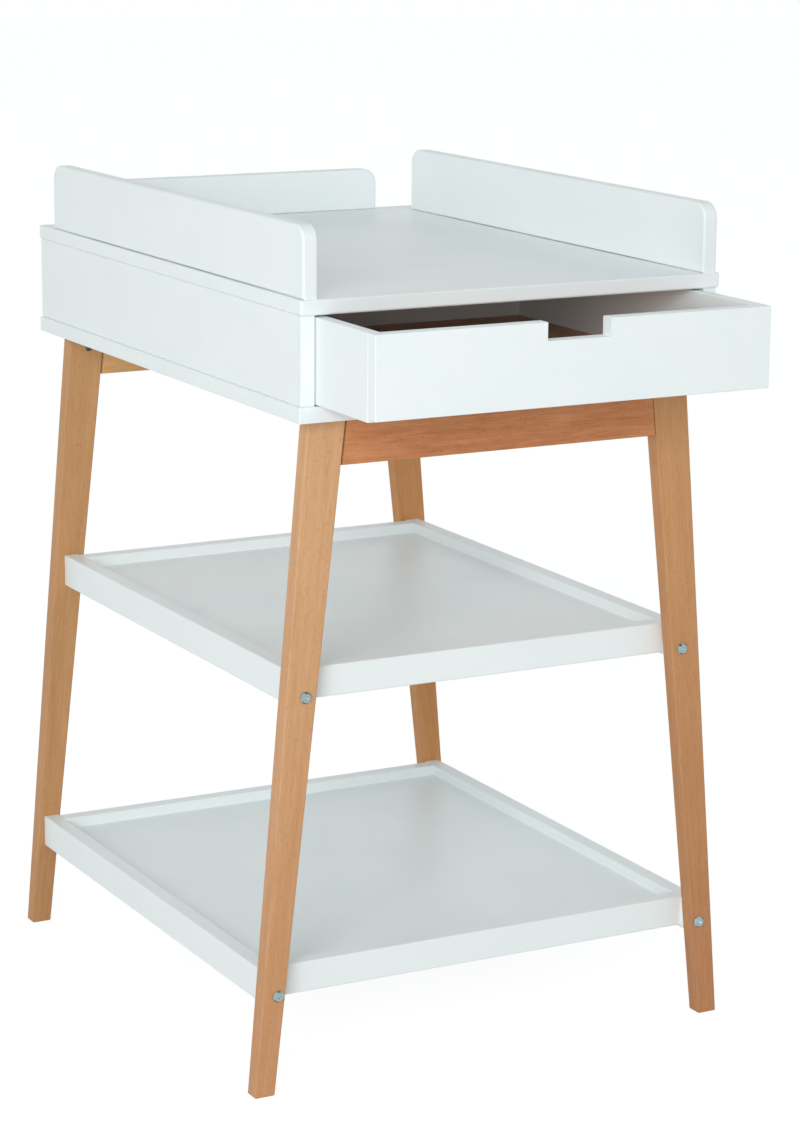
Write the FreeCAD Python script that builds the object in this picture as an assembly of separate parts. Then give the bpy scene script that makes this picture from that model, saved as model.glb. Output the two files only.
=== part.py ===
"""Changing dresser: a lacquered case with one drawer, on splayed beech legs with two trays.

Millimetres, +Z up, the front faces -Y. While it is built, y = 0 is the middle of the side
panels' depth and z = 0 is the floor. Every piece is moved along Y at the end, so that the
origin is the bottom centre of the whole part with its drawer drawn out.
"""
import FreeCAD, Part
import math
import os
from FreeCAD import Vector

# ---------------------------------------------------------------- driving dimensions, mm

# case
case_width = 556.0              # over the two side panels
case_depth = 779.0              # front edge to back edge of a side panel
side_height = 104.0             # height of the side panels, between bottom and top panel
side_thickness = 18.0
top_thickness = 18.0
bottom_thickness = 19.0
back_thickness = 18.0
top_overhang_side = 2.0         # how far the top panel stands proud of the side panels
top_overhang_front = 4.0
top_overhang_back = 1.0
bottom_overhang_side = 2.5
bottom_overhang_front = 2.0
bottom_overhang_back = 1.0
panel_edge_round = 1.4
top_lower_round = 3.0           # of the top panel's lower edges and its corners
side_edge_round = 1.4

# guard boards on the top
guard_thickness = 19.0
guard_length = 738.5
guard_height = 84.0
guard_inset_side = 3.8          # from the top panel's side edge
guard_inset_front = 2.0
guard_back_length = 430.0
guard_back_height = 56.0
guard_back_inset = 1.0          # from the top panel's back edge
guard_corner_radius = 20.0
guard_back_corner_radius = 20.0
guard_edge_round = 3.0

# drawer
drawer_front_thickness = 18.0
drawer_side_thickness = 15.0
drawer_back_thickness = 15.0
drawer_bottom_thickness = 4.0
drawer_depth = 570.0            # over front and back
drawer_gap_side = 1.0
drawer_gap_top = 2.2
drawer_gap_bottom = 1.5
drawer_front_lift = 3.5         # front's lower edge above the sides' lower edge
drawer_bottom_height = 12.5     # underside of the drawer bottom above the sides' lower edge
drawer_groove_depth = 6.0
drawer_opened = 144.5           # how far it is drawn out at rest
drawer_travel = 350.0           # from closed to the opening stop
notch_width = 83.0
notch_depth = 21.5
drawer_edge_round = 1.2
cutter_overrun = 1.0            # of the notch's cutter, past the faces that it opens

# glides and stops under and behind the drawer
running_clearance = 0.3         # between the drawer and what it runs on or stops at
glide_width = 13.0
glide_setback = 30.0            # from the side panels' front edge
opening_stop_width = 60.0
opening_stop_depth = 20.0
opening_stop_clearance = 2.0    # below the drawer bottom
closing_stop_width = 20.0
closing_stop_depth = 40.0
closing_stop_height = 16.0
closing_stop_x = 180.0

# legs and aprons
leg_height = 813.0
leg_depth = 22.0                # along Y
leg_inset = 24.5                # leg face behind the side panels' front or back edge
leg_inset_side = 21.5           # leg's outer edge inside the side panel's face, at the top
leg_top_width = 49.0
leg_foot_width = 26.3
leg_splay = 69.6                # how far the foot's outer edge stands out past the leg's top
leg_edge_round = 2.2
foot_edge_round = 1.0
apron_height = 57.0
apron_edge_round = 1.6

# trays: one entry each, heights from the floor
trays = {
    "middle": {"top": 513.0, "bolt_above_bottom": 13.5},
    "lower": {"top": 151.0, "bolt_above_bottom": 14.7},
}
rail_width = 21.0
rail_height = 41.5              # of a side rail
cross_rail_height = 38.0        # of a front or back rail; the tops are level
rail_inside_leg = 4.0           # rail's middle line inside the leg's middle line
cross_rail_recess = 5.0         # front and back rail behind the side rails' ends
tray_panel_drop = 14.0          # panel's top below the rails' top
tray_panel_thickness = 6.0
tray_groove_depth = 6.0
rail_edge_round = 1.8
groove_clearance = 0.5          # beyond a panel's edge in its groove

# fasteners
dowel_radius = 4.0
dowel_length = 30.0
dowel_in_board = 12.0           # of its length in the board that it enters square to its face
small_dowel_radius = 3.0
small_dowel_length = 28.0
bolt_radius = 3.0
bolt_clearance = 0.3            # radial, in a through hole
bolt_head_radius = 7.2
bolt_head_height = 3.8
bolt_head_rim_height = 1.3      # the head's straight part, under its dome
bolt_head_flat_radius = 5.4
bolt_socket_across = 4.0
bolt_socket_depth = 2.2
tray_bolt_length = 44.0         # under the head
tray_bolt_toward_middle = 1.0   # from the rail's middle line
insert_radius = 5.0
insert_length = 20.0
leg_bolt_length = 46.0
barrel_radius = 5.0
barrel_length = 12.0
barrel_below_top = 20.2         # barrel's axis below the leg's top end
leg_bolt_toward_middle = 3.5    # from the leg's middle line
leg_dowel_offset = 15.0         # dowel's axis outside the leg bolt's
screw_radius = 2.2
screw_head_radius = 4.3
guard_screw_length = 50.0
apron_screw_length = 50.0
drawer_screw_length = 40.0
stop_screw_length = 22.0
case_screw_radius = 3.0
case_screw_head_radius = 5.0
case_screw_length = 50.0
cam_radius = 7.5
cam_wall = 1.0                  # of a cam lock, past the bolt that pierces it
cam_below_top = 34.0            # cam's axis below the board's upper edge
cam_bolt_radius = 3.5
cam_bolt_in_top = 11.0

# fasteners' places in the top panel: along a side they count from the side guard's middle,
# so that the side panel's and the guard's never meet, and along the back from the middle
guard_screw_y = (-300.0, 0.0, 300.0)
guard_dowel_y = (-150.0, 150.0)
side_dowel_y = (-340.0, 75.0, 365.0)
side_cam_y = (-225.0, 225.0)
guard_back_screw_x = (-180.0, 180.0)
guard_back_dowel_x = (-50.0, 50.0)
back_dowel_x = (-225.0, 225.0)
back_cam_x = (-110.0, 110.0)

# places along a board, as offsets from its middle
side_screw_y = (-300.0, 0.0, 300.0)
back_screw_x = (-180.0, 180.0)
apron_screw_x = (-110.0, 110.0)
opening_stop_screw_x = (-18.0, 18.0)
drawer_dowel_heights = (26.0, 70.0)
drawer_screw_heights = (28.0, 72.0)
apron_dowel_drops = (16.0, 42.0)
rail_dowel_heights = (25.0, 35.0)

# ---------------------------------------------------------------- levels and planes

side_front = -case_depth / 2
side_back = case_depth / 2
case_half = case_width / 2
inner_half = case_half - side_thickness
bottom_top = leg_height + bottom_thickness
top_underside = bottom_top + side_height
surface = top_underside + top_thickness
top_half = case_half + top_overhang_side
top_front = side_front - top_overhang_front
top_back = side_back + top_overhang_back

guard_middle_x = top_half - guard_inset_side - guard_thickness / 2
guard_front = top_front + guard_inset_front
guard_middle_y = guard_front + guard_length / 2
guard_back_outer = top_back - guard_back_inset
guard_back_middle_y = guard_back_outer - guard_thickness / 2

drawer_half = inner_half - drawer_gap_side
drawer_low = bottom_top + drawer_gap_bottom
drawer_high = top_underside - drawer_gap_top
drawer_front_face = side_front - drawer_opened
drawer_back_face = drawer_front_face + drawer_depth
drawer_floor_low = drawer_low + drawer_bottom_height
drawer_inner_front = drawer_front_face + drawer_front_thickness
drawer_inner_back = drawer_back_face - drawer_back_thickness
drawer_inner_half = drawer_half - drawer_side_thickness

leg_front_face = side_front + leg_inset
leg_back_face = side_back - leg_inset
front_leg_middle = leg_front_face + leg_depth / 2
back_leg_middle = leg_back_face - leg_depth / 2
leg_top_outer = case_half - leg_inset_side
leg_foot_outer = leg_top_outer + leg_splay
apron_low = leg_height - apron_height

# the part's origin is midway between the drawer's front and the top panel's back edge
origin_y = (drawer_front_face + top_back) / 2

X = Vector(1, 0, 0)
Y = Vector(0, 1, 0)
Z = Vector(0, 0, 1)


def leg_outer(z):
    """The distance of a leg's outer edge from the middle, at a height."""
    return leg_foot_outer - leg_splay * z / leg_height


def leg_inner(z):
    """The distance of a leg's inner edge from the middle, at a height."""
    width = leg_foot_width + (leg_top_width - leg_foot_width) * z / leg_height
    return leg_outer(z) - width


def leg_middle(z):
    return (leg_outer(z) + leg_inner(z)) / 2


# ---------------------------------------------------------------- small makers

def box(x, y, z):
    """A block from three (low, high) pairs."""
    size = (x[1] - x[0], y[1] - y[0], z[1] - z[0])
    return Part.makeBox(*size, Vector(x[0], y[0], z[0]))


def board(x, y, z, edge_round):
    """A block with every edge eased."""
    solid = box(x, y, z)
    return solid.makeFillet(edge_round, solid.Edges)


def rod(start, direction, length, radius):
    return Part.makeCylinder(radius, length, start, direction)


def rods(starts, direction, length, radius):
    return [rod(start, direction, length, radius) for start in starts]


def cut(solid, tools):
    """The solid with each tool's shape taken out."""
    for tool in tools:
        solid = solid.cut(tool)
    return solid


def prism(points, direction):
    """A closed outline of points, pushed along a vector."""
    outline = Part.makePolygon(points + [points[0]])
    return Part.Face(outline).extrude(direction)


def countersunk_screw(tip, direction, length, radius, head_radius):
    """A screw whose flat head ends at tip + direction * length; direction points to the head."""
    head_height = head_radius - radius
    shank = rod(tip, direction, length - head_height, radius)
    head_start = tip + direction * (length - head_height)
    head = Part.makeCone(radius, head_radius, head_height, head_start, direction)
    return shank.fuse(head).removeSplitter()


def button_bolt(seat, direction, length):
    """A button-head bolt: direction points from the head's seat to the tip."""
    away = direction * -1
    shank = rod(seat, direction, length, bolt_radius)
    rim = rod(seat, away, bolt_head_rim_height, bolt_head_radius)
    dome = Part.makeCone(bolt_head_radius, bolt_head_flat_radius,
                         bolt_head_height - bolt_head_rim_height,
                         seat + away * bolt_head_rim_height, away)
    solid = shank.fuse([rim, dome]).removeSplitter()
    socket_start = seat + away * (bolt_head_height - bolt_socket_depth)
    return solid.cut(hexagon(socket_start, away, bolt_socket_across, bolt_socket_depth))


def hexagon(start, direction, across, length):
    """A six-sided prism, measured across its flats."""
    circle = Part.Circle(start, direction, across / 2 / math.cos(math.pi / 6))
    first = circle.parameter(start + X)
    corners = [circle.value(first + k * math.pi / 3) for k in range(6)]
    return prism(corners, direction * length)


def mirrored(solid):
    """The same piece on the right-hand side."""
    return solid.mirror(Vector(0, 0, 0), X)


# ---------------------------------------------------------------- the case's fasteners

side_middle_x = case_half - side_thickness / 2
back_middle_y = side_back - back_thickness / 2
dowel_half = dowel_length / 2
dowel_low = top_underside + dowel_in_board - dowel_length
cam_height = top_underside - cam_below_top


def in_sides(middle_y, places, z):
    """Points on both side panels' middle planes."""
    return [Vector(s * side_middle_x, middle_y + y, z) for s in (-1, 1) for y in places]


def in_back(places, z):
    """Points on the back panel's middle plane."""
    return [Vector(x, back_middle_y, z) for x in places]


case_dowels = rods(in_sides(guard_middle_y, side_dowel_y, dowel_low) + in_back(back_dowel_x, dowel_low),
                   Z, dowel_length, dowel_radius)
side_cam_points = in_sides(guard_middle_y, side_cam_y, cam_height)
back_cam_points = in_back(back_cam_x, cam_height)
cam_bolts = rods(side_cam_points + back_cam_points, Z, cam_below_top + cam_bolt_in_top, cam_bolt_radius)


def cam_housings():
    """The cams lie in bores from each board's inner face, and are pierced by their bolts."""
    past_middle = cam_bolt_radius + cam_wall
    housings = []
    for point in side_cam_points:
        outward = X if point.x > 0 else X * -1
        face = Vector(inner_half * outward.x, point.y, point.z)
        housings.append(rod(face, outward, side_thickness / 2 + past_middle, cam_radius))
    for point in back_cam_points:
        face = Vector(point.x, side_back - back_thickness, point.z)
        housings.append(rod(face, Y, back_thickness / 2 + past_middle, cam_radius))
    return housings


cam_bores = cam_housings()
cam_locks = [cut(bore, cam_bolts) for bore in cam_bores]

case_screw_tip = leg_height + case_screw_length
case_screws = [
    countersunk_screw(point, Z * -1, case_screw_length, case_screw_radius, case_screw_head_radius)
    for point in in_sides(0, side_screw_y, case_screw_tip) + in_back(back_screw_x, case_screw_tip)
]


def guard_points(side_places, back_places, z):
    """Points on the guards' middle planes: they are screwed on from below through the top panel."""
    sides = [Vector(s * guard_middle_x, guard_middle_y + y, z) for s in (-1, 1) for y in side_places]
    return sides + [Vector(x, guard_back_middle_y, z) for x in back_places]


guard_screws = [
    countersunk_screw(point, Z * -1, guard_screw_length, screw_radius, screw_head_radius)
    for point in guard_points(guard_screw_y, guard_back_screw_x, top_underside + guard_screw_length)
]
guard_dowels = rods(
    guard_points(guard_dowel_y, guard_back_dowel_x, surface - dowel_in_board),
    Z, dowel_length, dowel_radius)

# legs: a bolt from inside the case into a barrel nut, and a dowel beside it
barrel_z = leg_height - barrel_below_top
leg_bolt_x = leg_middle(barrel_z) - leg_bolt_toward_middle
leg_rows = (front_leg_middle, back_leg_middle)
leg_bolt_seats = [Vector(s * leg_bolt_x, y, bottom_top) for s in (-1, 1) for y in leg_rows]
leg_bolts = [button_bolt(seat, Z * -1, leg_bolt_length) for seat in leg_bolt_seats]
leg_bolt_holes = rods(leg_bolt_seats, Z * -1, leg_bolt_length + 2 * bolt_clearance,
                      bolt_radius + bolt_clearance)
leg_dowel_x = leg_bolt_x + leg_dowel_offset
leg_dowels = rods(
    [Vector(s * leg_dowel_x, y, leg_height + dowel_in_board - dowel_length)
     for s in (-1, 1) for y in leg_rows],
    Z, dowel_length, dowel_radius)


def barrel_bores():
    """Bores from each leg's inner face, deep enough to bring the nut to the bolt's axis."""
    bores = []
    for seat in leg_bolt_seats:
        inward = Y if seat.y < 0 else Y * -1
        end = Vector(seat.x, seat.y, barrel_z) - inward * (barrel_length / 2)
        bores.append(rod(end, inward, leg_depth, barrel_radius))
    return bores


barrel_holes = barrel_bores()
barrel_nuts = [
    rod(Vector(seat.x, seat.y - barrel_length / 2, barrel_z), Y, barrel_length, barrel_radius)
    for seat in leg_bolt_seats
]
barrel_nuts = [cut(nut, leg_bolts) for nut in barrel_nuts]

apron_screws = [
    countersunk_screw(Vector(x, y, bottom_top - apron_screw_length), Z, apron_screw_length,
                      screw_radius, screw_head_radius)
    for y in leg_rows for x in apron_screw_x
]
apron_dowels = [
    rod(Vector(s * (leg_inner(leg_height - drop) + dowel_in_board), y, leg_height - drop), X * -s,
        dowel_length, dowel_radius)
    for s in (-1, 1) for y in leg_rows for drop in apron_dowel_drops
]

# glides and stops
glide_thickness = drawer_gap_bottom - running_clearance
glide_front = side_front + glide_setback
closed_back = side_front + drawer_depth
closing_stop_front = closed_back + running_clearance
opening_stop_back = closed_back - drawer_back_thickness - drawer_travel - running_clearance
opening_stop_front = opening_stop_back - opening_stop_depth
opening_stop_top = drawer_floor_low - opening_stop_clearance
closing_stop_middle = closing_stop_front + closing_stop_depth / 2
opening_stop_middle = opening_stop_back - opening_stop_depth / 2
glide_back = closing_stop_front

closing_stop_screws = [
    countersunk_screw(Vector(s * closing_stop_x, closing_stop_middle,
                             bottom_top + closing_stop_height - stop_screw_length),
                      Z, stop_screw_length, screw_radius, screw_head_radius)
    for s in (-1, 1)
]
opening_stop_screws = [
    countersunk_screw(Vector(x, opening_stop_middle, opening_stop_top - stop_screw_length),
                      Z, stop_screw_length, screw_radius, screw_head_radius)
    for x in opening_stop_screw_x
]
stop_screws = closing_stop_screws + opening_stop_screws

# ---------------------------------------------------------------- the case

def top_panel():
    """The changing surface: its lower edges are rounded more than its upper edges."""
    solid = box((-top_half, top_half), (top_front, top_back), (top_underside, surface))
    lower_edges = [edge for edge in solid.Edges if edge.BoundBox.ZMin < surface - top_thickness / 2]
    solid = solid.makeFillet(top_lower_round, lower_edges)
    upper_edges = [edge for edge in solid.Edges if edge.BoundBox.ZMin > surface - panel_edge_round]
    solid = solid.makeFillet(panel_edge_round, upper_edges)
    return cut(solid, case_dowels + cam_bolts + guard_screws + guard_dowels)


def side_panel():
    """The left side panel."""
    solid = board((-case_half, -inner_half), (side_front, side_back), (bottom_top, top_underside),
                  side_edge_round)
    return cut(solid, case_dowels + cam_bolts + cam_bores + case_screws)


def back_panel():
    solid = box((-inner_half, inner_half), (side_back - back_thickness, side_back),
                (bottom_top, top_underside))
    return cut(solid, case_dowels + cam_bolts + cam_bores + case_screws)


def bottom_panel():
    half = case_half + bottom_overhang_side
    front = side_front - bottom_overhang_front
    back = side_back + bottom_overhang_back
    solid = board((-half, half), (front, back), (leg_height, bottom_top), panel_edge_round)
    return cut(solid, case_screws + leg_bolt_holes + leg_dowels + apron_screws + stop_screws)


def rounded_outline(start, along, length, height, radius):
    """A board's face standing on its long edge, with its two upper corners rounded."""
    end = start + along * length
    mid = 1 - math.cos(math.pi / 4)
    left = [start + along * a + Z * b for a, b in
            ((0, height - radius), (radius * mid, height - radius * mid), (radius, height))]
    right = [end - along * a + Z * b for a, b in
             ((radius, height), (radius * mid, height - radius * mid), (0, height - radius))]
    edges = [
        Part.LineSegment(start, left[0]).toShape(),
        Part.Arc(*left).toShape(),
        Part.LineSegment(left[2], right[0]).toShape(),
        Part.Arc(*right).toShape(),
        Part.LineSegment(right[2], end).toShape(),
        Part.LineSegment(end, start).toShape(),
    ]
    return Part.Face(Part.Wire(edges))


def guard(start, along, across, length, height, radius):
    """A guard board with its upper corners rounded and the edges of its two faces eased."""
    face = rounded_outline(start, along, length, height, radius)
    solid = face.extrude(across * guard_thickness)
    middle = solid.CenterOfMass
    face_edges = [edge for edge in solid.Edges
                  if abs((edge.BoundBox.Center - middle).dot(across)) > guard_thickness / 4]
    return cut(solid.makeFillet(guard_edge_round, face_edges), guard_screws + guard_dowels)


def guard_left():
    start = Vector(-top_half + guard_inset_side, guard_front, surface)
    return guard(start, Y, X, guard_length, guard_height, guard_corner_radius)


def guard_back():
    start = Vector(-guard_back_length / 2, guard_back_outer - guard_thickness, surface)
    return guard(start, X, Y, guard_back_length, guard_back_height, guard_back_corner_radius)


def glide_left():
    middle = -drawer_half + drawer_side_thickness / 2
    return box((middle - glide_width / 2, middle + glide_width / 2), (glide_front, glide_back),
               (bottom_top, bottom_top + glide_thickness))


def closing_stops():
    blocks = [
        box((s * closing_stop_x - closing_stop_width / 2, s * closing_stop_x + closing_stop_width / 2),
            (closing_stop_front, closing_stop_front + closing_stop_depth),
            (bottom_top, bottom_top + closing_stop_height))
        for s in (-1, 1)
    ]
    return Part.makeCompound([cut(block, closing_stop_screws) for block in blocks])


def opening_stop():
    solid = box((-opening_stop_width / 2, opening_stop_width / 2),
                (opening_stop_front, opening_stop_back), (bottom_top, opening_stop_top))
    return cut(solid, opening_stop_screws)


# ---------------------------------------------------------------- the drawer

drawer_floor = box(
    (-drawer_inner_half - drawer_groove_depth + groove_clearance,
     drawer_inner_half + drawer_groove_depth - groove_clearance),
    (drawer_inner_front - drawer_groove_depth + groove_clearance,
     drawer_inner_back + drawer_groove_depth - groove_clearance),
    (drawer_floor_low, drawer_floor_low + drawer_bottom_thickness))
drawer_groove = box(
    (-drawer_inner_half - drawer_groove_depth, drawer_inner_half + drawer_groove_depth),
    (drawer_inner_front - drawer_groove_depth, drawer_inner_back + drawer_groove_depth),
    (drawer_floor_low, drawer_floor_low + drawer_bottom_thickness))

drawer_side_middle = drawer_half - drawer_side_thickness / 2
drawer_dowels = [
    rod(Vector(s * drawer_side_middle, drawer_inner_front - dowel_in_board, drawer_low + height), Y,
        small_dowel_length, small_dowel_radius)
    for s in (-1, 1) for height in drawer_dowel_heights
]
drawer_screws = [
    countersunk_screw(
        Vector(s * (drawer_half - drawer_screw_length), drawer_back_face - drawer_back_thickness / 2,
               drawer_low + height),
        X * s, drawer_screw_length, screw_radius, screw_head_radius)
    for s in (-1, 1) for height in drawer_screw_heights
]


def drawer_front():
    solid = board((-drawer_half, drawer_half), (drawer_front_face, drawer_inner_front),
                  (drawer_low + drawer_front_lift, drawer_high), drawer_edge_round)
    notch = box((-notch_width / 2, notch_width / 2),
                (drawer_front_face - cutter_overrun, drawer_inner_front + cutter_overrun),
                (drawer_high - notch_depth, drawer_high + cutter_overrun))
    return cut(solid, [notch, drawer_groove] + drawer_dowels)


def drawer_side_left():
    solid = board((-drawer_half, -drawer_inner_half), (drawer_inner_front, drawer_back_face),
                  (drawer_low, drawer_high), drawer_edge_round)
    return cut(solid, [drawer_groove] + drawer_dowels + drawer_screws)


def drawer_back():
    solid = box((-drawer_inner_half, drawer_inner_half), (drawer_inner_back, drawer_back_face),
                (drawer_low, drawer_high))
    return cut(solid, [drawer_groove] + drawer_screws)


# ---------------------------------------------------------------- the trays

class Tray:
    """One tray's places, worked out from the legs at the height of its bolts."""

    def __init__(self, top, bolt_above_bottom):
        self.top = top
        self.low = top - rail_height
        self.cross_low = top - cross_rail_height
        self.bolt_z = self.low + bolt_above_bottom
        self.middle = leg_middle(self.bolt_z) - rail_inside_leg
        self.outer = self.middle + rail_width / 2
        self.inner = self.middle - rail_width / 2
        self.front_end = leg_front_face + leg_depth
        self.back_end = leg_back_face - leg_depth
        self.front = self.front_end + cross_rail_recess
        self.back = self.back_end - cross_rail_recess
        self.panel_top = top - tray_panel_drop
        self.panel_low = self.panel_top - tray_panel_thickness
        self.bolt_x = self.middle - tray_bolt_toward_middle
        self.groove = self.panel_box(0.0)
        self.panel = self.panel_box(groove_clearance)
        self.bolts = self.make_bolts()
        self.inserts = self.make_inserts()
        self.dowels = self.make_dowels()

    def panel_box(self, clearance):
        reach = tray_groove_depth - clearance
        return box((-self.inner - reach, self.inner + reach),
                   (self.front + rail_width - reach, self.back - rail_width + reach),
                   (self.panel_low, self.panel_top))

    def ends(self):
        """Each side rail's end as (x, y of the leg's outer face, y of the rail's end, way in)."""
        return [(s * self.bolt_x, face, end, way) for s in (-1, 1) for face, end, way in (
            (leg_front_face, self.front_end, Y), (leg_back_face, self.back_end, Y * -1))]

    def make_bolts(self):
        return [button_bolt(Vector(x, face, self.bolt_z), way, tray_bolt_length)
                for x, face, end, way in self.ends()]

    def make_inserts(self):
        blanks = [rod(Vector(x, end, self.bolt_z), way, insert_length, insert_radius)
                  for x, face, end, way in self.ends()]
        return [cut(blank, self.bolts) for blank in blanks]

    def insert_bores(self):
        return [rod(Vector(x, end, self.bolt_z), way, insert_length, insert_radius)
                for x, face, end, way in self.ends()]

    def bolt_holes(self):
        return [rod(Vector(x, face, self.bolt_z), way, tray_bolt_length + 2 * bolt_clearance,
                    bolt_radius + bolt_clearance)
                for x, face, end, way in self.ends()]

    def make_dowels(self):
        rows = (self.front + rail_width / 2, self.back - rail_width / 2)
        return [rod(Vector(s * self.inner - dowel_half, y, self.low + height), X,
                    dowel_length, small_dowel_radius)
                for s in (-1, 1) for y in rows for height in rail_dowel_heights]

    def side_rail(self):
        """The left side rail, between the front and the back leg."""
        solid = board((-self.outer, -self.inner), (self.front_end, self.back_end),
                      (self.low, self.top), rail_edge_round)
        return cut(solid, [self.groove] + self.insert_bores() + self.bolt_holes() + self.dowels)

    def cross_rail(self, low_y):
        solid = box((-self.inner, self.inner), (low_y, low_y + rail_width), (self.cross_low, self.top))
        long_edges = [edge for edge in solid.Edges if edge.BoundBox.XLength > self.inner]
        solid = solid.makeFillet(rail_edge_round, long_edges)
        return cut(solid, [self.groove] + self.dowels)


tray_set = {name: Tray(**sizes) for name, sizes in trays.items()}
tray_bolt_holes = [hole for tray in tray_set.values() for hole in tray.bolt_holes()]

# ---------------------------------------------------------------- legs and aprons

def leg_left(low_y):
    """A left leg: a tapered, splayed board, eased along its four long edges and round its foot."""
    points = [
        Vector(-leg_outer(0), low_y, 0),
        Vector(-leg_inner(0), low_y, 0),
        Vector(-leg_inner(leg_height), low_y, leg_height),
        Vector(-leg_outer(leg_height), low_y, leg_height),
    ]
    solid = prism(points, Y * leg_depth)
    long_edges = [edge for edge in solid.Edges if edge.BoundBox.ZLength > leg_height / 2]
    solid = solid.makeFillet(leg_edge_round, long_edges)
    foot_edges = [edge for edge in solid.Edges if edge.BoundBox.ZMax < foot_edge_round]
    solid = solid.makeChamfer(foot_edge_round, foot_edges)
    return cut(solid, leg_bolt_holes + leg_dowels + barrel_holes + apron_dowels + tray_bolt_holes)


def apron(low_y):
    """An apron whose ends follow the legs' inner edges."""
    low, high = leg_inner(apron_low), leg_inner(leg_height)
    points = [
        Vector(-low, low_y, apron_low),
        Vector(low, low_y, apron_low),
        Vector(high, low_y, leg_height),
        Vector(-high, low_y, leg_height),
    ]
    solid = prism(points, Y * leg_depth)
    solid = solid.makeFillet(apron_edge_round, solid.Edges)
    return cut(solid, apron_screws + apron_dowels)


# ---------------------------------------------------------------- all nodes

def group(solids):
    return Part.makeCompound(solids)


def case_nodes():
    left_side, left_guard, left_glide = side_panel(), guard_left(), glide_left()
    return {
        "top_panel": top_panel(),
        "side_panel_left": left_side,
        "side_panel_right": mirrored(left_side),
        "back_panel": back_panel(),
        "bottom_panel": bottom_panel(),
        "guard_left": left_guard,
        "guard_right": mirrored(left_guard),
        "guard_back": guard_back(),
        "guard_screws": group(guard_screws),
        "guard_dowels": group(guard_dowels),
        "case_dowels": group(case_dowels),
        "cam_locks": group(cam_locks),
        "cam_bolts": group(cam_bolts),
        "case_screws": group(case_screws),
        "drawer_glide_left": left_glide,
        "drawer_glide_right": mirrored(left_glide),
        "closing_stops": closing_stops(),
        "opening_stop": opening_stop(),
        "stop_screws": group(stop_screws),
    }


def drawer_nodes():
    left_side = drawer_side_left()
    return {
        "drawer_front": drawer_front(),
        "drawer_side_left": left_side,
        "drawer_side_right": mirrored(left_side),
        "drawer_back": drawer_back(),
        "drawer_bottom": drawer_floor,
        "drawer_dowels": group(drawer_dowels),
        "drawer_screws": group(drawer_screws),
    }


def leg_nodes():
    front_left = leg_left(leg_front_face)
    back_left = leg_left(leg_back_face - leg_depth)
    return {
        "leg_front_left": front_left,
        "leg_front_right": mirrored(front_left),
        "leg_back_left": back_left,
        "leg_back_right": mirrored(back_left),
        "apron_front": apron(leg_front_face),
        "apron_back": apron(leg_back_face - leg_depth),
        "apron_dowels": group(apron_dowels),
        "apron_screws": group(apron_screws),
        "leg_bolts": group(leg_bolts),
        "leg_barrel_nuts": group(barrel_nuts),
        "leg_dowels": group(leg_dowels),
    }


def tray_nodes(name, tray):
    left_rail = tray.side_rail()
    return {
        name + "_tray_rail_left": left_rail,
        name + "_tray_rail_right": mirrored(left_rail),
        name + "_tray_rail_front": tray.cross_rail(tray.front),
        name + "_tray_rail_back": tray.cross_rail(tray.back - rail_width),
        name + "_tray_panel": tray.panel,
        name + "_tray_dowels": group(tray.dowels),
        name + "_tray_bolts": group(tray.bolts),
        name + "_tray_inserts": group(tray.inserts),
    }


nodes = {**case_nodes(), **drawer_nodes(), **leg_nodes()}
for tray_name, tray in tray_set.items():
    nodes.update(tray_nodes(tray_name, tray))

os.makedirs("parts", exist_ok=True)
for node_name, shape in nodes.items():
    shape.translate(Vector(0, -origin_y, 0))
    if not shape.isValid():
        print("not valid:", node_name)
    shape.exportStep(os.path.join("parts", node_name + ".step"))
print(len(nodes), "nodes, origin moved by", -origin_y)
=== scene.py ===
"""Looks of the changing dresser: white lacquered boards, varnished beech legs, zinc-plated bolts.

Metres, +Z up, the front faces -Y. Every board is a solid of the frame and stays as it is; this
script gives each one its finish, and sets up the floor, the light and the camera.
"""
import math

import bpy
from mathutils import Matrix, Vector


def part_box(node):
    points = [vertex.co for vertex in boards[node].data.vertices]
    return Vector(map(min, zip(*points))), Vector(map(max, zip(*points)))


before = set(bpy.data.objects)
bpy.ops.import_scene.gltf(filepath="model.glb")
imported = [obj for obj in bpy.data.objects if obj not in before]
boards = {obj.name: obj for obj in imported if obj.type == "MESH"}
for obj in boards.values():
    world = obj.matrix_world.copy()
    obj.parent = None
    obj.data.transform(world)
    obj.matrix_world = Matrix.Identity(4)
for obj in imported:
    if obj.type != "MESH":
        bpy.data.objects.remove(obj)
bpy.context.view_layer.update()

MM = 0.001
PER_MM = 1000.0      # one pattern cell for each millimetre; PER_MM / 3 is one for each 3 mm


# ---------------------------------------------------------------- colours and nodes

def linear(hex_colour):
    """An sRGB hex colour as linear red, green, blue and alpha."""
    parts = [int(hex_colour[i:i + 2], 16) / 255 for i in (1, 3, 5)]
    light = [c / 12.92 if c <= 0.04045 else ((c + 0.055) / 1.055) ** 2.4 for c in parts]
    return (*light, 1.0)


def add(tree, kind, inputs=None, **settings):
    """Adds a shader node with its settings. An input is a constant or another node's output."""
    made = tree.nodes.new("ShaderNode" + kind)
    for name, value in settings.items():
        setattr(made, name, value)
    for name, value in (inputs or {}).items():
        if isinstance(value, bpy.types.NodeSocket):
            tree.links.new(value, made.inputs[name])
        else:
            made.inputs[name].default_value = value
    return made


def empty_material(name):
    """A material with no nodes yet, and its tree."""
    material = bpy.data.materials.new(name)
    material.use_nodes = True
    material.node_tree.nodes.clear()
    return material, material.node_tree


# sockets of a Mix node that mixes colours: three inputs and the output
SHARE, FIRST, SECOND, MIXED = 0, 6, 7, 2


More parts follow.
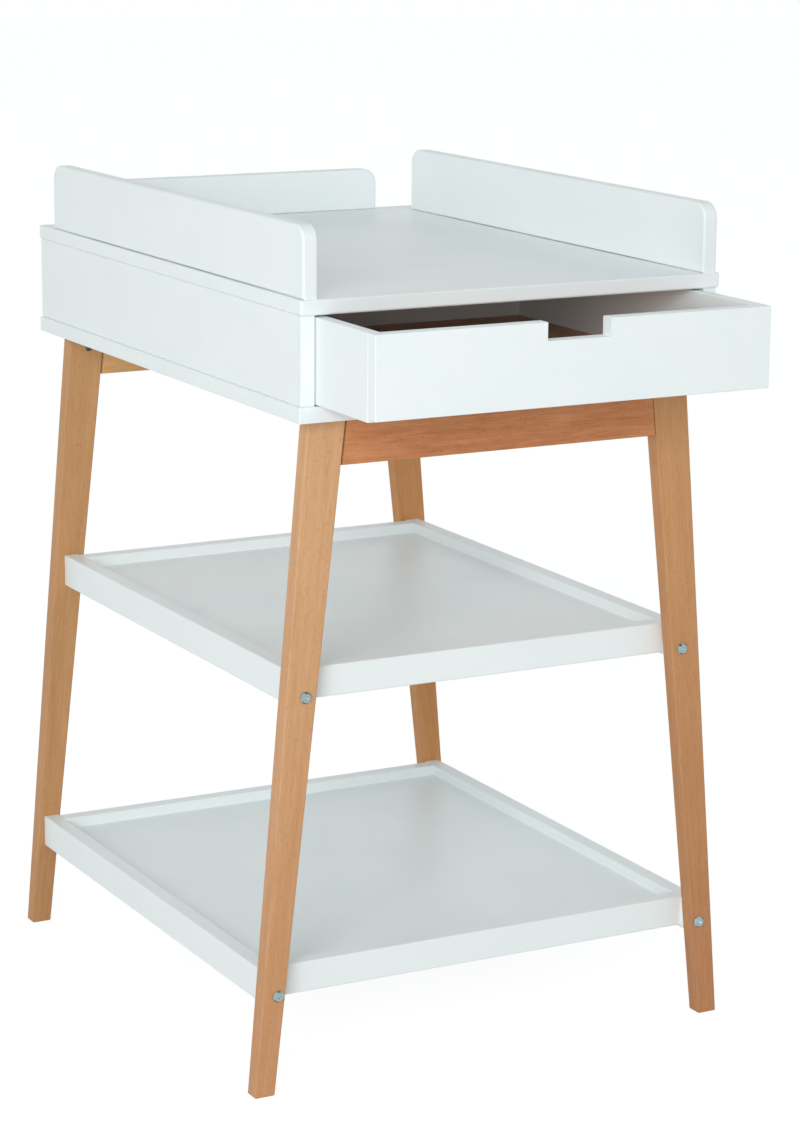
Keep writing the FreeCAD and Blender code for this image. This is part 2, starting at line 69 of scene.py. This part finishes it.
def looked_at(tree):
    """Is 1 for a ray from the camera, a mirror or glass, and 0 for one that only lights things."""
    ray = add(tree, "LightPath")
    mirrored = add(tree, "Math", {
        0: ray.outputs["Is Glossy Ray"], 1: ray.outputs["Is Transmission Ray"]},
        operation="MAXIMUM")
    seen = add(tree, "Math", {0: ray.outputs["Is Camera Ray"], 1: mirrored.outputs[0]},
               operation="MAXIMUM")
    return seen.outputs[0]


# ---------------------------------------------------------------- beech

def beech(name, pith, turn, pale, tan, fleck, foot_shade="#ffffff", patch=(26, 210), contrast=1.0,
          joint=None):
    """Steamed beech, planed, sanded and varnished satin. Pinkish tan and close-grained: soft
    streaks along the grain, fine fibres, and the short brown flecks of its rays.

    A patch is the width and length, in millimetres, over which the tone drifts. The foot colour is
    a painted shade that darkens the wood near the floor. A joint paints a line of shade at the
    ends: it gives how far an end would reach from the middle at the floor, and how much less it
    reaches for each metre up."""
    material, tree = empty_material(name)

    # Z runs along the grain, from the pith, which lies beside the piece
    place = add(tree, "TexCoord").outputs["Object"]
    grain = add(tree, "Mapping", {"Vector": place, "Location": pith, "Rotation": turn},
                vector_type="TEXTURE").outputs["Vector"]

    # slow drifts of tone
    across, along = patch
    patch_cells = add(tree, "VectorMath", {
        0: grain, 1: (PER_MM / across, PER_MM / across, PER_MM / along)}, operation="MULTIPLY")
    patches = add(tree, "TexNoise", {
        "Vector": patch_cells.outputs[0], "Scale": 1.0, "Detail": 2.0, "Roughness": 0.45,
        "Distortion": 0.3}).outputs["Fac"]

    # streaks 5 mm wide and 110 mm long, where the growth rings run out on the face
    streak_cells = add(tree, "VectorMath", {0: grain, 1: (PER_MM / 5, PER_MM / 5, PER_MM / 110)},
                       operation="MULTIPLY")
    streaks = add(tree, "TexNoise", {
        "Vector": streak_cells.outputs[0], "Scale": 1.0, "Detail": 2.0, "Roughness": 0.5,
        "Distortion": 0.6}).outputs["Fac"]

    # fibres, drawn 1.5 mm wide and 22 mm long: the real ones are too fine to show
    fibre_cells = add(tree, "VectorMath", {0: grain, 1: (PER_MM / 1.5, PER_MM / 1.5, PER_MM / 22)},
                      operation="MULTIPLY")
    fibres = add(tree, "TexNoise", {
        "Vector": fibre_cells.outputs[0], "Scale": 1.0, "Detail": 2.0,
        "Roughness": 0.6}).outputs["Fac"]

    # rays: dashes of about 0.8 x 3 mm in cells of 1.8 x 6.5 mm; most are faint, a few are dark
    ray_cells = add(tree, "VectorMath", {0: grain, 1: (PER_MM / 1.8, PER_MM / 1.8, PER_MM / 6.5)},
                    operation="MULTIPLY")
    rays = add(tree, "TexVoronoi", {"Vector": ray_cells.outputs[0], "Scale": 1.0})
    dash = add(tree, "MapRange", {
        "Value": rays.outputs["Distance"], "From Min": 0.12, "From Max": 0.34, "To Min": 1.0,
        "To Max": 0.0}, interpolation_type="SMOOTHSTEP")
    lot = add(tree, "SeparateColor", {"Color": rays.outputs["Color"]})
    faint = add(tree, "Math", {0: lot.outputs["Red"], 1: 2.5}, operation="POWER")
    dark_dashes = add(tree, "Math", {0: dash.outputs[0], 1: faint.outputs[0]}, operation="MULTIPLY")
    bright = add(tree, "MapRange", {
        "Value": lot.outputs["Green"], "From Min": 0.6, "From Max": 1.0, "To Max": 0.4})
    light_dashes = add(tree, "Math", {0: dash.outputs[0], 1: bright.outputs[0]},
                       operation="MULTIPLY")

    # the three together stay close to their middle, 0.5, and are spread from pale to tan
    broad = add(tree, "Mix", {0: 0.5, 2: patches, 3: streaks}, data_type="FLOAT")
    depth = add(tree, "Mix", {0: 0.4, 2: broad.outputs[0], 3: fibres}, data_type="FLOAT")
    spread = 0.19 / contrast
    share = add(tree, "MapRange", {
        "Value": depth.outputs[0], "From Min": 0.5 - spread, "From Max": 0.5 + spread})
    wood = add(tree, "Mix", {SHARE: share.outputs[0], FIRST: linear(pale), SECOND: linear(tan)},
               data_type="RGBA")
    lighter = add(tree, "Mix", {
        SHARE: light_dashes.outputs[0], FIRST: wood.outputs[MIXED], SECOND: linear(pale)},
        data_type="RGBA")
    flecked = add(tree, "Mix", {
        SHARE: dark_dashes.outputs[0], FIRST: lighter.outputs[MIXED], SECOND: linear(fleck)},
        data_type="RGBA")

    # painted shade: a leg's wood is darkened towards its foot, for the light that fades near the
    # floor
    axes = add(tree, "SeparateXYZ", {0: place})
    down = add(tree, "MapRange", {"Value": axes.outputs["Z"], "From Min": 0.75, "From Max": 0.05})
    foot_shaded = add(tree, "Mix", {
        SHARE: down.outputs[0], FIRST: flecked.outputs[MIXED], SECOND: linear(foot_shade)},
        data_type="RGBA", blend_type="MULTIPLY")
    coloured = foot_shaded.outputs[MIXED]

    # painted shade: where an end butts against a leaning leg, a dark line a millimetre wide stands
    # in for the shadow in the joint
    if joint:
        reach_at_floor, less_per_metre = joint
        from_middle = add(tree, "Math", {0: axes.outputs["X"]}, operation="ABSOLUTE")
        reach = add(tree, "Math", {
            0: axes.outputs["Z"], 1: less_per_metre, 2: from_middle.outputs[0]},
            operation="MULTIPLY_ADD")
        shade_line = add(tree, "MapRange", {
            "Value": reach.outputs[0], "From Min": reach_at_floor - 1.8 * MM,
            "From Max": reach_at_floor - 0.8 * MM, "To Max": 0.7})
        joint_shaded = add(tree, "Mix", {
            SHARE: shade_line.outputs[0], FIRST: coloured, SECOND: linear("#5a3018")}, data_type="RGBA")
        coloured = joint_shaded.outputs[MIXED]

    # the varnish sinks into the open fibres, which stay a little duller
    dullness = add(tree, "MapRange", {
        "Value": fibres, "From Min": 0.3, "From Max": 0.7, "To Min": 0.42, "To Max": 0.54})
    pores = add(tree, "Bump", {"Height": fibres, "Strength": 0.3, "Distance": 0.04 * MM})
    surface = add(tree, "BsdfPrincipled", {
        "Base Color": coloured, "Roughness": dullness.outputs[0],
        "Normal": pores.outputs["Normal"], "IOR": 1.5, "Specular IOR Level": 0.22})
    add(tree, "OutputMaterial", {"Surface": surface.outputs[0]})
    return material


# ---------------------------------------------------------------- lacquer, metal and plastic

def white_satin_lacquer(name, seam=None):
    """Lacquer sprayed on medium-density board: an even, slightly cool white, satin, with a fine
    orange peel that softens what it mirrors.

    With a seam, a line of painted shade darkens the joint under a board. It gives the joint's
    height, and the middle and half the length of the board along Y."""
    material, tree = empty_material(name)
    place = add(tree, "TexCoord").outputs["Object"]

    # the coat is a touch greyer in patches about 90 mm wide
    patches = add(tree, "TexNoise", {
        "Vector": place, "Scale": PER_MM / 90, "Detail": 2.0}).outputs["Fac"]
    white = add(tree, "Mix", {SHARE: patches, FIRST: linear("#f4f8f8"), SECOND: linear("#eef4f5")},
                data_type="RGBA")
    coloured = white.outputs[MIXED]

    # painted shade: the joint shows as a dark line a millimetre high, darker here and there, which
    # closes at its ends
    if seam:
        level, middle, half_length = seam
        axes = add(tree, "SeparateXYZ", {0: place})
        shade_line = add(tree, "MapRange", {
            "Value": axes.outputs["Z"], "From Min": level + 0.9 * MM, "From Max": level + 1.5 * MM,
            "To Min": 1.0, "To Max": 0.0})
        past_middle = add(tree, "Math", {0: axes.outputs["Y"], 1: middle}, operation="SUBTRACT")
        from_middle = add(tree, "Math", {0: past_middle.outputs[0]}, operation="ABSOLUTE")
        opened = add(tree, "MapRange", {
            "Value": from_middle.outputs[0], "From Min": half_length - 160 * MM,
            "From Max": half_length - 5 * MM, "To Min": 1.0, "To Max": 0.0})
        # the painted shade of the seam is deeper in the greyer patches
        shade_strength = add(tree, "MapRange", {
            "Value": patches, "From Min": 0.3, "From Max": 0.7, "To Min": 0.45, "To Max": 0.8})
        shade_on_line = add(tree, "Math", {0: shade_line.outputs[0], 1: shade_strength.outputs[0]}, operation="MULTIPLY")
        shown = add(tree, "Math", {0: shade_on_line.outputs[0], 1: opened.outputs[0]}, operation="MULTIPLY")
        seam_shaded = add(tree, "Mix", {
            SHARE: shown.outputs[0], FIRST: coloured, SECOND: linear("#77766f")}, data_type="RGBA")
        coloured = seam_shaded.outputs[MIXED]

    # the greyer patches are a little duller too
    sheen = add(tree, "MapRange", {
        "Value": patches, "From Min": 0.3, "From Max": 0.7, "To Min": 0.36, "To Max": 0.44})

    # orange peel 1.5 mm across, over the slow waves that the spray passes leave
    waves = add(tree, "TexNoise", {"Vector": place, "Scale": PER_MM / 28, "Detail": 1.0})
    wavy = add(tree, "Bump", {
        "Height": waves.outputs["Fac"], "Strength": 0.3, "Distance": 0.1 * MM})
    peel = add(tree, "TexNoise", {"Vector": place, "Scale": PER_MM / 1.5, "Detail": 2.0})
    coat = add(tree, "Bump", {
        "Height": peel.outputs["Fac"], "Strength": 0.25, "Distance": 0.03 * MM,
        "Normal": wavy.outputs["Normal"]})

    surface = add(tree, "BsdfPrincipled", {
        "Base Color": coloured, "Roughness": sheen.outputs[0],
        "Normal": coat.outputs["Normal"], "IOR": 1.48})
    add(tree, "OutputMaterial", {"Surface": surface.outputs[0]})
    return material


def zinc_plate(name, light, dark, haziness):
    """Turned steel with a coat of zinc: a cool grey metal, slightly cloudy. The haziness is the
    least roughness of its clouds."""
    material, tree = empty_material(name)
    place = add(tree, "TexCoord").outputs["Object"]
    clouds = add(tree, "TexNoise", {
        "Vector": place, "Scale": PER_MM / 2.5, "Detail": 3.0}).outputs["Fac"]
    tint = add(tree, "Mix", {SHARE: clouds, FIRST: linear(light), SECOND: linear(dark)},
               data_type="RGBA")
    haze = add(tree, "MapRange", {
        "Value": clouds, "From Min": 0.3, "From Max": 0.7,
        "To Min": haziness, "To Max": 1.6 * haziness})
    surface = add(tree, "BsdfPrincipled", {
        "Base Color": tint.outputs[MIXED], "Metallic": 1.0, "Roughness": haze.outputs[0]})
    add(tree, "OutputMaterial", {"Surface": surface.outputs[0]})
    return material


def natural_nylon():
    """Extruded nylon strip, undyed: milky, slick, with light sinking in a millimetre."""
    material, tree = empty_material("natural_nylon")
    place = add(tree, "TexCoord").outputs["Object"]
    flow = add(tree, "TexNoise", {
        "Vector": place, "Scale": PER_MM / 6, "Detail": 2.0}).outputs["Fac"]
    milk = add(tree, "Mix", {SHARE: flow, FIRST: linear("#e9e7df"), SECOND: linear("#dcd9cf")},
               data_type="RGBA")
    surface = add(tree, "BsdfPrincipled", {
        "Base Color": milk.outputs[MIXED], "Roughness": 0.35, "IOR": 1.53,
        "Subsurface Weight": 0.2, "Subsurface Scale": 1.0 * MM})
    add(tree, "OutputMaterial", {"Surface": surface.outputs[0]})
    return material


# ---------------------------------------------------------------- each piece gets its finish

# the way the grain runs
UPRIGHT = (0.0, 0.0, 0.0)
ALONG_X = (0.0, math.radians(90), 0.0)

# an apron's ends follow the legs' inner edges, which lean inwards
APRON_REACH_AT_FLOOR = 299.8 * MM
APRON_LESS_PER_METRE = 0.1135


def beside(name, millimetres):
    """A point off the middle of a piece, for the pith of the tree that it was sawn from."""
    low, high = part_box(name)
    return tuple((low + high) / 2 + Vector(millimetres) * MM)


def lean(name):
    """The way a leg's grain runs: upright, and leaning inwards by the leg's own splay."""
    low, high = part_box(name)
    half_foot, half_top = 13 * MM, 24.5 * MM
    inwards = math.atan2(high.x - low.x - half_foot - half_top, high.z - low.z)
    return (0.0, math.copysign(inwards, -low.x - high.x), 0.0)


def finish(name, material):
    """Gives a piece one finish all over."""
    for slot in boards[name].material_slots:
        slot.material = material


# every leg and apron is sawn from its own board, so each has its own grain and tone. Each leg's
# tone is also scaled as painted light for how it is lit, the back right leg lightened most against
# the shade of the case and trays. Listed: the pith's place from the piece's middle in millimetres,
# the pale and tan wood, the flecks, and a leg's painted foot shade
leg_boards = {
    "leg_front_left": ((30, 85, 0), "#e1b388", "#cc986a", "#b98159", "#f1e4dd"),
    "leg_front_right": ((-40, 70, 0), "#d5a06f", "#be895d", "#a9744d", "#efe3e1"),
    "leg_back_left": ((60, 60, 0), "#d2a06f", "#bd8a5c", "#ab774e", "#f6f1ef"),
    "leg_back_right": ((-25, 90, 0), "#e0a06a", "#c68955", "#b27548", "#f5f6f0"),
}
apron_boards = {
    "apron_front": ((0, 50, -70), "#dc9a6b", "#bb754a", "#a8633e"),
    "apron_back": ((0, 60, 40), "#eeb87f", "#d29c66", "#ba8150"),
}
for name, (pith, pale, tan, fleck, foot_shade) in leg_boards.items():
    finish(name, beech("beech_" + name, beside(name, pith), lean(name), pale, tan, fleck, foot_shade))
for name, (pith, pale, tan, fleck) in apron_boards.items():
    finish(name, beech("beech_" + name, beside(name, pith), ALONG_X, pale, tan, fleck,
                       patch=(13, 60), joint=(APRON_REACH_AT_FLOOR, APRON_LESS_PER_METRE)))

finishes = {
    "white_lacquer": white_satin_lacquer("white_satin_lacquer"),
    "zinc_plated_steel": zinc_plate("blue_zinc_plated_steel", "#adbbbb", "#8da1a2", 0.18),
    "glide_plastic": natural_nylon(),
    "dowel_beech": beech("raw_beech_dowels", (0.0, 0.0, 0.0), UPRIGHT,
                         "#e2be92", "#d0a87a", "#a97d52"),
    "stop_beech": beech("raw_beech_stops", (0.0, 0.0, 0.0), ALONG_X,
                        "#e2be92", "#d0a87a", "#a97d52"),
    "brown_plywood": beech("brown_plywood", beside("drawer_bottom", (0, 0, -400)), ALONG_X,
                           "#dbac8e", "#c6977a", "#936b52", contrast=1.5),
}
for name, board in boards.items():
    for slot in board.material_slots:
        if slot.material.name in finishes:
            slot.material = finishes[slot.material.name]

# the side guards stand on the top panel, and the joint under them gets a line of painted shade
low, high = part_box("guard_left")
lacquer_with_seam_shade = white_satin_lacquer("white_satin_lacquer_with_painted_seam_shade",
                                     seam=(low.z, (low.y + high.y) / 2, (high.y - low.y) / 2))
for name in ("guard_left", "guard_right"):
    finish(name, lacquer_with_seam_shade)

# the nuts in the legs are sawn from bar and tumbled, so they are darker than the bolts
finish("leg_barrel_nuts", zinc_plate("tumbled_zinc_plated_steel", "#7b8386", "#5f676a", 0.4))


# ---------------------------------------------------------------- floor, light and camera

def pale_floor():
    """A matt white floor. What looks at it straight sees it lit up to white, less its shadows."""
    material, tree = empty_material("matt_white_floor")
    plain = add(tree, "BsdfDiffuse", {"Color": linear("#e6e7e7")})
    shaded = add(tree, "BsdfDiffuse", {"Color": linear("#8a8a8a")})
    lit = add(tree, "Emission", {"Color": linear("#ffffff"), "Strength": 0.87})
    white = add(tree, "AddShader", {0: lit.outputs[0], 1: shaded.outputs[0]})
    seen = add(tree, "MixShader", {0: looked_at(tree), 1: plain.outputs[0], 2: white.outputs[0]})
    add(tree, "OutputMaterial", {"Surface": seen.outputs[0]})
    return material


bpy.ops.object.select_all(action="DESELECT")
bpy.ops.mesh.primitive_plane_add(size=80)
floor = bpy.context.active_object
floor.name = "floor"
floor.data.materials.append(pale_floor())

# the room: soft light, stronger from the walls than from the ceiling, and white where it is seen
world = bpy.data.worlds.new("white_room")
bpy.context.scene.world = world
world.use_nodes = True
room = world.node_tree
room.nodes.clear()
walls_strength, ceiling_strength = 0.87, 0.34
upwards = add(room, "SeparateXYZ", {0: add(room, "TexCoord").outputs["Generated"]})
strength = add(room, "MapRange", {
    "Value": upwards.outputs["Z"], "From Min": 0.0, "From Max": 1.0,
    "To Min": walls_strength, "To Max": ceiling_strength})
tint = add(room, "Mix", {
    SHARE: upwards.outputs["Z"], FIRST: linear("#ffffff"), SECOND: linear("#f2ffff")},
    data_type="RGBA")
soft = add(room, "Background", {"Color": tint.outputs[MIXED], "Strength": strength.outputs[0]})
bare = add(room, "Background", {"Color": linear("#ffffff"), "Strength": 1.0})
seen = add(room, "MixShader", {0: looked_at(room), 1: soft.outputs[0], 2: bare.outputs[0]})
add(room, "OutputWorld", {"Surface": seen.outputs[0]})


def softbox(name, place, target, size, watts):
    """A square studio lamp that faces a point."""
    lamp = bpy.data.lights.new(name, "AREA")
    lamp.shape = "SQUARE"
    lamp.size = size
    lamp.energy = watts
    stand = bpy.data.objects.new(name, lamp)
    stand.location = place
    stand.rotation_euler = (Vector(target) - Vector(place)).to_track_quat("-Z", "Y").to_euler()
    bpy.context.scene.collection.objects.link(stand)


# one large lamp at the camera's left, a little above the changing surface
softbox("key_softbox", (-3.5, -4.15, 2.3), (0.0, 0.0, 0.7), 2.2, 139.0)

# the camera stands front left and looks down on the changing surface
lens = bpy.data.cameras.new("camera")
lens.sensor_width = 36.0
lens.lens = 101.6
camera = bpy.data.objects.new("camera", lens)
stands = Vector((-1.8570, -3.5087, 1.4637))
turned, tipped, rolled = math.radians(-28.15), math.radians(90 - 12.90), math.radians(0.42)
camera.matrix_world = (Matrix.Translation(stands) @ Matrix.Rotation(turned, 4, "Z")
                       @ Matrix.Rotation(tipped, 4, "X") @ Matrix.Rotation(rolled, 4, "Z"))
bpy.context.scene.collection.objects.link(camera)
bpy.context.scene.camera = camera
bpy.context.scene.view_settings.view_transform = "Standard"
